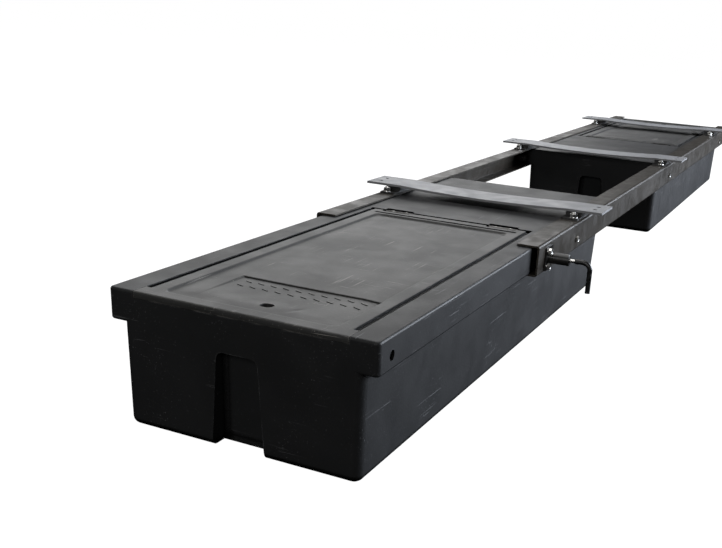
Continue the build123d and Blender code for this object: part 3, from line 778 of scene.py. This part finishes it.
@dataclass
class RailFrame:
    """Two folded rails, three crossbars on standoffs, and the studs and stops fixed to them."""

    body: str = "rail_frame"
    stud_radius: float = 4.0 * MM
    stud_pitch: float = 1.25 * MM
    stud_lead: float = 0.8 * MM
    nut_flats: float = 13.0 * MM
    washer: Triple = (8.0 * MM, 4.2 * MM, 0.35 * MM)
    plain: tuple[str, ...] = (
        "left_rail", "right_rail", "near_crossbar", "middle_crossbar", "far_crossbar", "standoffs",
        "middle_buffers",
    )

    def build(self, shop: Workshop) -> None:
        """Dresses the rails and bars and makes the hardware.

        Args:
            shop: where the finishes come from.
        """
        for node in self.plain:
            shop.dress_node(node)
        self.studs(shop)
        self.stud_nuts(shop)
        self.washers(shop)
        self.side_bolts(shop, "travel_stop_bolts", "travel_stop_nuts")
        self.side_bolts(shop, "buffer_bolts", None)

    def studs(self, shop: Workshop) -> None:
        """Makes the threaded weld studs."""
        form = bmesh.new()
        low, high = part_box("weld_studs")
        outline = threaded_profile(self.stud_radius, 0, high.z - low.z, self.stud_pitch, self.stud_lead)
        for centre in solid_centres("weld_studs"):
            base = Matrix.Translation((centre.x, centre.y, low.z))
            turned(form, outline, base, 24)
        shop.install("threaded_weld_studs", form, self.body, Slot.ZINC, "weld_studs")

    def stud_nuts(self, shop: Workshop) -> None:
        """Makes the chamfered nuts on the studs, each turned a little differently."""
        form = bmesh.new()
        turns = random.Random(5)
        low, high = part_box("stud_nuts")
        for centre in solid_centres("stud_nuts"):
            turn = Matrix.Rotation(turns.uniform(0, 1.0), 4, "Z")
            base = Matrix.Translation((centre.x, centre.y, low.z)) @ turn
            hexagon(form, self.nut_flats, 0, high.z - low.z, self.stud_radius, base)
        shop.install("chamfered_stud_nuts", form, self.body, Slot.ZINC, "stud_nuts")

    def washers(self, shop: Workshop) -> None:
        """Makes the washers, with the rounded edge that a punched washer has."""
        form = bmesh.new()
        low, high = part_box("stud_washers")
        thick = high.z - low.z
        outer, hole, edge = self.washer
        profile = [
            (hole, 0),
            (outer, 0),
            (outer, thick - edge),
            (outer - 0.3 * edge, thick - 0.3 * edge),
            (outer - edge, thick),
            (hole + edge, thick),
            (hole, thick - edge),
            (hole, 0),
        ]
        for centre in solid_centres("stud_washers"):
            turned(form, profile, Matrix.Translation((centre.x, centre.y, low.z)), 40)
        bmesh.ops.remove_doubles(form, verts=form.verts, dist=1e-6)
        shop.install("punched_washers", form, self.body, Slot.ZINC, "stud_washers")

    def side_bolts(self, shop: Workshop, bolts: str, nuts: str | None) -> None:
        """Makes bolts through the rails' webs, and their nuts.

        Args:
            shop: where the finishes come from.
            bolts: the CAD node of the bolts.
            nuts: the CAD node of their nuts, if they have any.
        """
        form = bmesh.new()
        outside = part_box(bolts)[1].y
        length = outside - self.inner_reach(bolts)
        shank = threaded_profile(BOLT_RADIUS, BOLT_HEAD, length, BOLT_PITCH, BOLT_LEAD)
        for centre in solid_centres(bolts):
            side = math.copysign(1.0, centre.y)
            base = facing(Vector((centre.x, side * outside, centre.z)), Vector((0, -side, 0)))
            hexagon(form, BOLT_FLATS, BOLT_HEAD, 0, 0, base)
            turned(form, shank, base, 24)
        shop.install(f"{bolts}_threaded", form, self.body, Slot.ZINC, bolts)
        if nuts is not None:
            side_nuts(shop, nuts)

    def inner_reach(self, node: str) -> float:
        """How close the node's solids come to the middle line."""
        return min(abs(vertex.co.y) for vertex in frame["nodes"][node].data.vertices)


@dataclass
class StorageBox:
    """One moulded box with its lid, hinges, screws and stop lugs."""

    side: Side
    groove: Pair = (150.3, 159.3)
    groove_start: float = 28.0
    groove_depth: float = 3.5
    rear_groove: Pair = (700.0, 709.0)
    rear_groove_half: float = 140.0
    panel: Pair = (24.0, 694.0)
    panel_half: float = 131.0
    panel_corner: float = 16.0
    panel_depth: float = 3.0
    plate: Pair = (40.0, 164.0)
    plate_sides: Pair = (-130.0, 90.0)
    plate_depth: float = 2.0
    finger_hole: Triple = (59.0, -11.0, 10.0)
    pocket_reach: float = 15.0
    pocket_depth: float = 4.5
    pocket_half: float = 28.0
    hinge_centre: float = 104.0
    hinge_line: float = 735.0
    edge_radius: float = 3.5
    front_slope: float = 17.0 / 197.0
    screw_head: float = 3.0 * MM
    lid_gap: float = 6.5
    panel_slope: float = 5.0
    panel_crown: float = 1.1
    dent: Pair = (62.0, -52.0)
    dent_depth: float = 0.9
    dent_turn: Pair = (0.45, 0.9)
    dent_spread: Pair = (18.0, 220.0)
    sag_depth: float = 0.35
    sag_waves: Pair = (61.0, 37.0)
    fine_row: float = 90.0
    coarse_step: float = 9.0
    fine_step: float = 1.2
    bar_rows: Pair = (122.0, 145.0)
    bar_count: int = 10
    bar_start: float = 70.0
    bar_pitch: float = 20.0
    bar_length: float = 9.0
    bar_width: float = 1.5
    bar_rise: float = 0.8
    bar_lean: float = 1.2

    def build(self, shop: Workshop) -> None:
        """Dresses the shell and hardware and makes the lid.

        Args:
            shop: where the finishes come from.
        """
        word = self.side.word
        for piece in ("box_shell", "hinge_box_leaves", "hinge_lid_leaves", "hinge_pins", "stop_lugs"):
            shop.dress_node(f"{word}_{piece}")
        self.lid(shop)
        self.marks(shop)
        self.screws(shop, "hinge_box_screws", f"{word}_box")
        self.screws(shop, "hinge_lid_screws", f"{word}_lid")

    def place(self, x: float, y: float, z: float) -> Vector:
        """Turns box coordinates in millimetres into the row's frame.

        Args:
            x: distance in from the front.
            y: distance from the middle line.
            z: height over the rim's top.

        Returns:
            The point in metres.
        """
        inwards = -self.side.value
        return self.front + Vector((inwards * x, inwards * y, z)) * MM

    @property
    def lid_rear(self) -> float:
        """The lid's hinged edge, from the front of the box."""
        return self.hinge_line - self.lid_gap

    @cached_property
    def lid_box(self) -> tuple[Vector, Vector]:
        """The CAD lid's lowest and highest corners."""
        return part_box(f"{self.side.word}_lid")

    @cached_property
    def front(self) -> Vector:
        """The middle of the box's front edge, at the rim's top."""
        low, high = self.lid_box
        rear = high.x if self.side is Side.NEAR else low.x
        return Vector((rear + self.side.value * self.lid_rear * MM, 0.0, high.z))

    @property
    def lid_half(self) -> float:
        """Half the lid's width."""
        low, high = self.lid_box
        return (high.y - low.y) / 2 / MM

    def relief_at(self, x: float, y: float) -> float:
        """The lid's top surface.

        Args:
            x: distance in from the front, in millimetres.
            y: distance from the middle line, in millimetres.

        Returns:
            Its height over the rim's top, zero or below, in millimetres.
        """
        depth = 0.0
        inner, outer = self.groove
        beside = abs(y)
        across = smooth_step(beside, inner - 0.4, inner + 1.6)
        across *= 1 - smooth_step(beside, outer - 1.2, outer - 0.2)
        depth += self.groove_depth * across * smooth_step(x, self.groove_start, self.groove_start + 6)
        start, end = self.rear_groove
        behind = smooth_step(x, start, start + 1.5) * (1 - smooth_step(x, end - 1.5, end))
        within = 1 - smooth_step(beside, self.rear_groove_half - 4, self.rear_groove_half)
        depth = max(depth, self.groove_depth * behind * within)
        front, rear = self.panel
        from_middle, half_length = x - (front + rear) / 2, (rear - front) / 2
        inset = inside_rounded(from_middle, y, half_length, self.panel_half, self.panel_corner)
        step = self.panel_depth * smooth_step(inset, 0.0, self.panel_slope)
        crown = self.panel_crown * smooth_step(inset, 8.0, 34.0)
        depth = max(depth, step - crown)
        depth += self.plate_depth_at(x, y)
        depth += self.dent_depth_at(x, y)
        wave_x, wave_y = self.sag_waves
        sag = self.sag_depth * smooth_step(inset, 20, 60)
        depth += sag * (1 + math.sin(x / wave_x) * math.cos(y / wave_y))
        return -depth - self.edge_drop(x)

    def dent_depth_at(self, x: float, y: float) -> float:
        """The long shallow dent beside the finger hole.

        Args:
            x: distance in from the front, in millimetres.
            y: distance from the middle line, in millimetres.

        Returns:
            Its depth in millimetres.
        """
        away_x, away_y = x - self.dent[0], y - self.dent[1]
        less, more = self.dent_turn
        narrow, wide = self.dent_spread
        across, along = less * away_x + more * away_y, more * away_x - less * away_y
        return self.dent_depth * math.exp(-(across**2) / narrow - along**2 / wide)

    def plate_depth_at(self, x: float, y: float) -> float:
        """How much lower the sloped marker plate is than the panel round it, at a point of the lid."""
        start, end = self.plate
        right, left = self.plate_sides
        along = max(0.0, (x - start) / (end - start)) * (1 - smooth_step(x, end - 1.2, end + 0.4))
        within = smooth_step(y, right - 1, right + 2) * (1 - smooth_step(y, left - 2, left + 1))
        return self.plate_depth * along * within

    def edge_drop(self, x: float) -> float:
        """How far the rounded front edge has dropped at a distance in from the front."""
        reach = self.edge_radius
        if x >= reach:
            return 0.0
        return reach - math.sqrt(max(reach * reach - (reach - x) ** 2, 0.0))

    def grid_lines(self, start: float, end: float, marks: Iterable[float]) -> list[float]:
        """Lines for a grid that is fine close to its marks and coarse elsewhere.

        Args:
            start: the first line.
            end: the last line.
            marks: where it is fine.

        Returns:
            The lines in order.
        """
        spots = sorted({start, end, *(mark for mark in marks if start < mark < end)})
        lines = [start]
        for left, right in zip(spots, spots[1:]):
            edge = min(6.0, (right - left) / 2)
            stretches = (
                (left, left + edge, self.fine_step),
                (left + edge, right - edge, self.coarse_step),
                (right - edge, right, self.fine_step),
            )
            for low, high, step in stretches:
                if high - low < 1e-6:
                    continue
                count = math.ceil((high - low) / step)
                lines += [low + (high - low) * part / count for part in range(1, count + 1)]
        return lines

    def lid(self, shop: Workshop) -> None:
        """Makes the lid: a relief on top, a rounded front edge, plain sides and a flat underside."""
        low, high = self.lid_box
        thick = (high.z - low.z) / MM
        half = self.lid_half
        front, rear = self.panel
        hole_x, hole_y, hole_radius = self.finger_hole
        pocket_edge = self.hinge_line - self.pocket_reach
        along_marks = [front, front + self.panel_slope, *self.plate, rear, *self.rear_groove, pocket_edge]
        along_marks += [hole_x - hole_radius, hole_x + hole_radius, self.fine_row]
        rows = self.grid_lines(0.0, self.lid_rear, along_marks)
        inner, outer = self.groove
        pocket_ends = (self.hinge_centre - self.pocket_half, self.hinge_centre + self.pocket_half)
        side_marks = [inner, outer - 1, self.panel_half, self.rear_groove_half, *pocket_ends]
        right, left = self.plate_sides
        marks = [*side_marks, *(-value for value in side_marks), right, left]
        marks += [hole_y - hole_radius, hole_y + hole_radius, self.dent[1]]
        columns = self.grid_lines(-half, half, marks)
        form = bmesh.new()

        def drawn(x: float, y: float) -> Pair:
            """Draws the grid outwards from the finger hole, so that one square of it opens into the hole."""
            away_x, away_y = x - hole_x, y - hole_y
            reach = max(abs(away_x), abs(away_y))
            distance = math.hypot(away_x, away_y)
            fade = 1 - smooth_step(reach, hole_radius, 3 * hole_radius)
            if fade <= 0 or reach == 0:
                return x, y
            grown = reach if reach >= hole_radius else hole_radius
            factor = 1 + fade * (grown / distance - 1)
            return hole_x + away_x * factor, hole_y + away_y * factor

        def cell_open(i: int, j: int) -> bool:
            """Whether a square of the grid lies in the finger hole."""
            if not (0 <= i < len(rows) - 1 and 0 <= j < len(columns) - 1):
                return False
            middle_x = (rows[i] + rows[i + 1]) / 2 - hole_x
            middle_y = (columns[j] + columns[j + 1]) / 2 - hole_y
            return max(abs(middle_x), abs(middle_y)) < hole_radius

        def pocket(x: float, y: float) -> bool:
            """Whether a point of the lid lies in a pocket for a hinge leaf."""
            return x > pocket_edge and abs(abs(y) - self.hinge_centre) < self.pocket_half

        def top(x: float, y: float) -> float:
            """The top surface, with the hinge pockets."""
            return min(self.relief_at(x, y), -self.pocket_depth if pocket(x, y) else 0.0)

        slope = self.front_slope
        upper, lower = [], []
        for i, row in enumerate(rows):
            spots = [drawn(row, column) for column in columns]
            tops = [(self.front_x(x, top(x, y)), y, top(x, y)) for x, y in spots]
            upper.append([form.verts.new(self.place(*spot)) for spot in tops])
            lower.append([form.verts.new(self.place(x if i else slope * thick, y, -thick)) for x, y in spots])
        for i in range(len(rows) - 1):
            for j in range(len(columns) - 1):
                if cell_open(i, j):
                    continue
                m, n = i + 1, j + 1
                form.faces.new((upper[i][j], upper[m][j], upper[m][n], upper[i][n]))
                form.faces.new((lower[i][j], lower[i][n], lower[m][n], lower[m][j]))
                walls = (
                    ((i - 1, j), (upper[i][j], upper[i][n], lower[i][n], lower[i][j])),
                    ((m, j), (upper[m][j], lower[m][j], lower[m][n], upper[m][n])),
                    ((i, j - 1), (upper[i][j], lower[i][j], lower[m][j], upper[m][j])),
                    ((i, n), (upper[i][n], upper[m][n], lower[m][n], lower[i][n])),
                )
                for beside, wall in walls:
                    if cell_open(*beside):
                        form.faces.new(wall)
        for j in range(len(columns) - 1):
            form.faces.new((upper[0][j], upper[0][j + 1], lower[0][j + 1], lower[0][j]))
            form.faces.new((upper[-1][j], lower[-1][j], lower[-1][j + 1], upper[-1][j + 1]))
        for i in range(len(rows) - 1):
            form.faces.new((upper[i][0], lower[i][0], lower[i + 1][0], upper[i + 1][0]))
            form.faces.new((upper[i][-1], upper[i + 1][-1], lower[i + 1][-1], lower[i][-1]))
        loose = [vertex for vertex in form.verts if not vertex.link_faces]
        bmesh.ops.delete(form, geom=loose, context="VERTS")
        word = self.side.word
        shop.install(f"{word}_moulded_lid", form, f"{word}_lid", Slot.LID, f"{word}_lid")

    def front_x(self, x: float, z: float) -> float:
        """Leans the front edge in, as the front of the box does."""
        return x if x > 0 else self.front_slope * -z

    def marks(self, shop: Workshop) -> None:
        """Makes the plain raised bars on the marker plate, in two rows of identical slanted bars."""
        form = bmesh.new()
        for row_x in self.bar_rows:
            for step in range(self.bar_count):
                self.raised_bar(form, row_x, self.bar_start - step * self.bar_pitch)
        word = self.side.word
        shop.install(f"{word}_lid_raised_bars", form, f"{word}_lid", Slot.LID)

    def raised_bar(self, form: Form, x: float, y: float) -> None:
        """Adds one low rounded bar that follows the plate's slope.

        Args:
            form: the mesh that it joins.
            x: its middle, from the front, in millimetres.
            y: its middle, from the middle line, in millimetres.
        """
        steps, lean, rise = 16, self.bar_lean, self.bar_rise
        rings = []
        for share, height in ((1.0, -0.3), (0.92, 0.45 * rise), (0.7, 0.9 * rise), (0.35, rise)):
            ring = []
            for step in range(steps):
                angle = 2 * math.pi * step / steps
                end = math.copysign(self.bar_length / 2, math.cos(angle))
                along = math.cos(angle) * self.bar_width * share + end
                across = math.sin(angle) * self.bar_width * share
                px = x + along * math.cos(lean) - across * math.sin(lean)
                py = y + along * math.sin(lean) + across * math.cos(lean)
                ring.append(form.verts.new(self.place(px, py, self.relief_at(px, py) + height)))
            rings.append(ring)
        skin(form, rings, steps)
        form.faces.new(rings[-1])
        form.faces.new(list(reversed(rings[0])))

    def screws(self, shop: Workshop, kind: str, body: str) -> None:
        """Makes pan-head screws with a cross recess, each turned differently.

        Args:
            shop: where the finishes come from.
            kind: the end of the CAD node's name.
            body: the body that they move with.
        """
        node = f"{self.side.word}_{kind}"
        form = bmesh.new()
        turns = random.Random(len(kind) + self.side.value)
        low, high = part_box(node)
        radius, length = 1.5 * MM, high.z - low.z - 1.2 * MM
        for centre in solid_centres(node):
            turn = Matrix.Rotation(turns.uniform(0, 1.5), 4, "Z")
            self.cross_head(form, Matrix.Translation((centre.x, centre.y, high.z)) @ turn)
            shank = Matrix.Translation((centre.x, centre.y, low.z))
            turned(form, [(0, 0), (radius, 0), (radius, length), (0, length)], shank, 20)
        shop.install(f"{node}_cross_head", form, body, Slot.ZINC, node)

    def cross_head(self, form: Form, top: Matrix) -> None:
        """Adds one domed screw head with a cross recess.

        Args:
            form: the mesh that it joins.
            top: a place at the highest point of the head.
        """
        rings, steps = 14, 48
        crown, skirt_drop = 0.55 * MM, 1.1 * MM
        recess_half, recess_reach, recess_depth, recess_fade = 0.38 * MM, 1.75 * MM, 0.6 * MM, 2.4 * MM
        circles = []
        for ring in range(rings + 1):
            radius = self.screw_head * ring / rings
            angles = [2 * math.pi * step / steps for step in range(steps if ring else 1)]
            spots = [(radius * math.cos(angle), radius * math.sin(angle)) for angle in angles]
            circle = []
            for x, y in spots:
                height = -crown * (ring / rings) ** 2.4
                slot = min(abs(x), abs(y)) < recess_half and radius < recess_reach
                height -= recess_depth * (1 - radius / recess_fade) if slot else 0.0
                circle.append(form.verts.new(top @ Vector((x, y, height))))
            circles.append(circle)
        skirt = [form.verts.new(top @ Vector((x, y, -skirt_drop))) for x, y in spots]
        circles.append(skirt)
        skin(form, circles, steps)
        form.faces.new(list(reversed(skirt)))


@dataclass
class PinLatch:
    """One spring pin latch on the outside of the right rail."""

    side: Side
    washer_radius: float = 6.0 * MM
    washer_thickness: float = 1.2 * MM
    washer_edge: Pair = (0.2 * MM, 0.3 * MM)

    def build(self, shop: Workshop) -> None:
        """Dresses the latch and makes its bolts and nuts.

        Args:
            shop: where the finishes come from.
        """
        word = self.side.word
        for piece in ("plate", "barrel", "spring", "spring_seat", "pin", "sleeve"):
            shop.dress_node(f"{word}_latch_{piece}")
        self.bolts(shop)
        side_nuts(shop, f"{word}_latch_nuts")

    def bolts(self, shop: Workshop) -> None:
        """Makes the two bolts with their washers."""
        node = f"{self.side.word}_latch_bolts"
        form = bmesh.new()
        low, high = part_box(node)
        outer, under = self.washer_radius, BOLT_HEAD + self.washer_thickness
        back, drop = self.washer_edge
        washer = [(0, BOLT_HEAD), (outer - back, BOLT_HEAD), (outer, BOLT_HEAD + drop)]
        washer += [(outer, under), (0, under)]
        shank = threaded_profile(BOLT_RADIUS, under, high.y - low.y, BOLT_PITCH, BOLT_LEAD)
        for centre in solid_centres(node):
            base = facing(Vector((centre.x, low.y, centre.z)), Vector((0, 1, 0)))
            hexagon(form, BOLT_FLATS, BOLT_HEAD, 0, 0, base)
            turned(form, washer, base, 36)
            turned(form, shank, base, 24)
        shop.install(f"{node}_threaded", form, "rail_frame", Slot.ZINC, node)


# ---------------------------------------------------------------- studio


@dataclass
class SoftBox:
    """One soft rectangular light."""

    name: str
    place: Triple
    target: Triple
    size: Pair
    power: float
    colour: Colour = (1.0, 1.0, 1.0)

    def build(self) -> None:
        """Makes the light and turns it to its target."""
        lamp = bpy.data.lights.new(self.name, "AREA")
        lamp.shape = "RECTANGLE"
        lamp.size, lamp.size_y = self.size
        lamp.energy = self.power
        lamp.color = self.colour
        made = bpy.data.objects.new(self.name, lamp)
        made.location = self.place
        aim = Vector(self.target) - Vector(self.place)
        made.rotation_euler = aim.to_track_quat("-Z", "Y").to_euler()
        bpy.context.scene.collection.objects.link(made)


@dataclass
class Studio:
    """The pale floor, the white surround, the lights and the camera."""

    camera_place: Triple = (-2.87715, -0.66283, 0.36532)
    heading: float = 25.9295
    tilt: float = -15.2478
    roll: float = 3.2684
    lens: float = 51.5735
    shift: Pair = (0.01983, 0.00936)
    floor_reach: float = 40.0
    lights: tuple[SoftBox, ...] = (
        SoftBox("back_light", (3.2, 3.0, 1.7), (-0.6, 0.0, -0.1), (5.0, 2.4), 92.0),
        SoftBox("overhead_light", (-0.4, 0.3, 3.2), (-0.4, 0.0, 0.0), (4.0, 2.0), 60.0),
        SoftBox("right_light", (1.9, -3.4, 1.1), (-0.2, -0.2, -0.1), (4.5, 2.2), 540.0, (0.84, 0.9, 1.0)),
        SoftBox("left_light", (-1.6, 3.2, 0.9), (-0.6, 0.2, -0.1), (2.5, 1.2), 10.0),
        SoftBox("front_light", (-5.4, -0.6, 1.6), (-1.8, 0.0, -0.1), (2.6, 1.6), 70.0),
    )

    def build(self) -> None:
        """Makes the floor, the surround, the lights and the camera."""
        scene = bpy.context.scene
        scene.view_settings.view_transform = "Standard"
        self.surround(scene)
        self.floor()
        for light in self.lights:
            light.build()
        self.camera(scene)

    def surround(self, scene: bpy.types.Scene) -> None:
        """Makes the white surround, which lights nothing."""
        world = scene.world or bpy.data.worlds.new("surround")
        scene.world = world
        world.use_nodes = True
        backdrop = world.node_tree.nodes["Background"]
        backdrop.inputs["Color"].default_value = (1.0, 1.0, 1.0, 1.0)
        backdrop.inputs["Strength"].default_value = 1.0
        world.cycles_visibility.diffuse = False
        world.cycles_visibility.glossy = False

    def floor(self) -> None:
        """Makes the pale floor under the boxes."""
        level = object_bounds()[0].z
        form = bmesh.new()
        reach = self.floor_reach
        corners = ((-reach, -reach), (reach, -reach), (reach, reach), (-reach, reach))
        form.faces.new([form.verts.new((x, y, level)) for x, y in corners])
        made = add_object("studio_floor", form)
        paint = Recipe("pale_floor")
        grain = paint.noise(2.0, 2)
        paint.surface(paint.mix(grain, (0.12, 0.12, 0.12), (0.13, 0.13, 0.13)), 0.9, 0.0, 0.0)
        paint.shader.inputs["Emission Color"].default_value = (1.0, 1.0, 1.0, 1.0)
        paint.shader.inputs["Emission Strength"].default_value = 1.0
        made.data.materials.append(paint.material)
        made.visible_glossy = False
        made.visible_diffuse = False
        made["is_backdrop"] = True

    def camera(self, scene: bpy.types.Scene) -> None:
        """Makes the camera.

        Args:
            scene: the scene that it films.
        """
        heading, tilt, roll = (math.radians(value) for value in (self.heading, self.tilt, self.roll))
        flat = math.cos(tilt)
        ahead = Vector((flat * math.cos(heading), flat * math.sin(heading), math.sin(tilt)))
        level = Vector((math.sin(heading), -math.cos(heading), 0.0))
        upright = level.cross(ahead)
        right = level * math.cos(roll) + upright * math.sin(roll)
        up = upright * math.cos(roll) - level * math.sin(roll)
        lens = bpy.data.cameras.new("studio_camera")
        lens.lens = self.lens
        lens.sensor_width = 36.0
        lens.shift_x, lens.shift_y = self.shift
        lens.clip_start, lens.clip_end = 0.02, 200.0
        made = bpy.data.objects.new("studio_camera", lens)
        turn = Matrix((right, up, -ahead)).transposed().to_4x4()
        made.matrix_world = Matrix.Translation(self.camera_place) @ turn
        scene.collection.objects.link(made)
        scene.camera = made


def main() -> None:
    """Builds every sub-assembly in order, then the studio."""
    logging.basicConfig(level=logging.INFO, format="%(message)s")
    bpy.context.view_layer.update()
    shop = Workshop()
    RailFrame().build(shop)
    for side in Side:
        StorageBox(side).build(shop)
        PinLatch(side).build(shop)
        LOG.info("%s box and latch done", side.word)
    Studio().build()


if __name__ == "__main__":
    main()
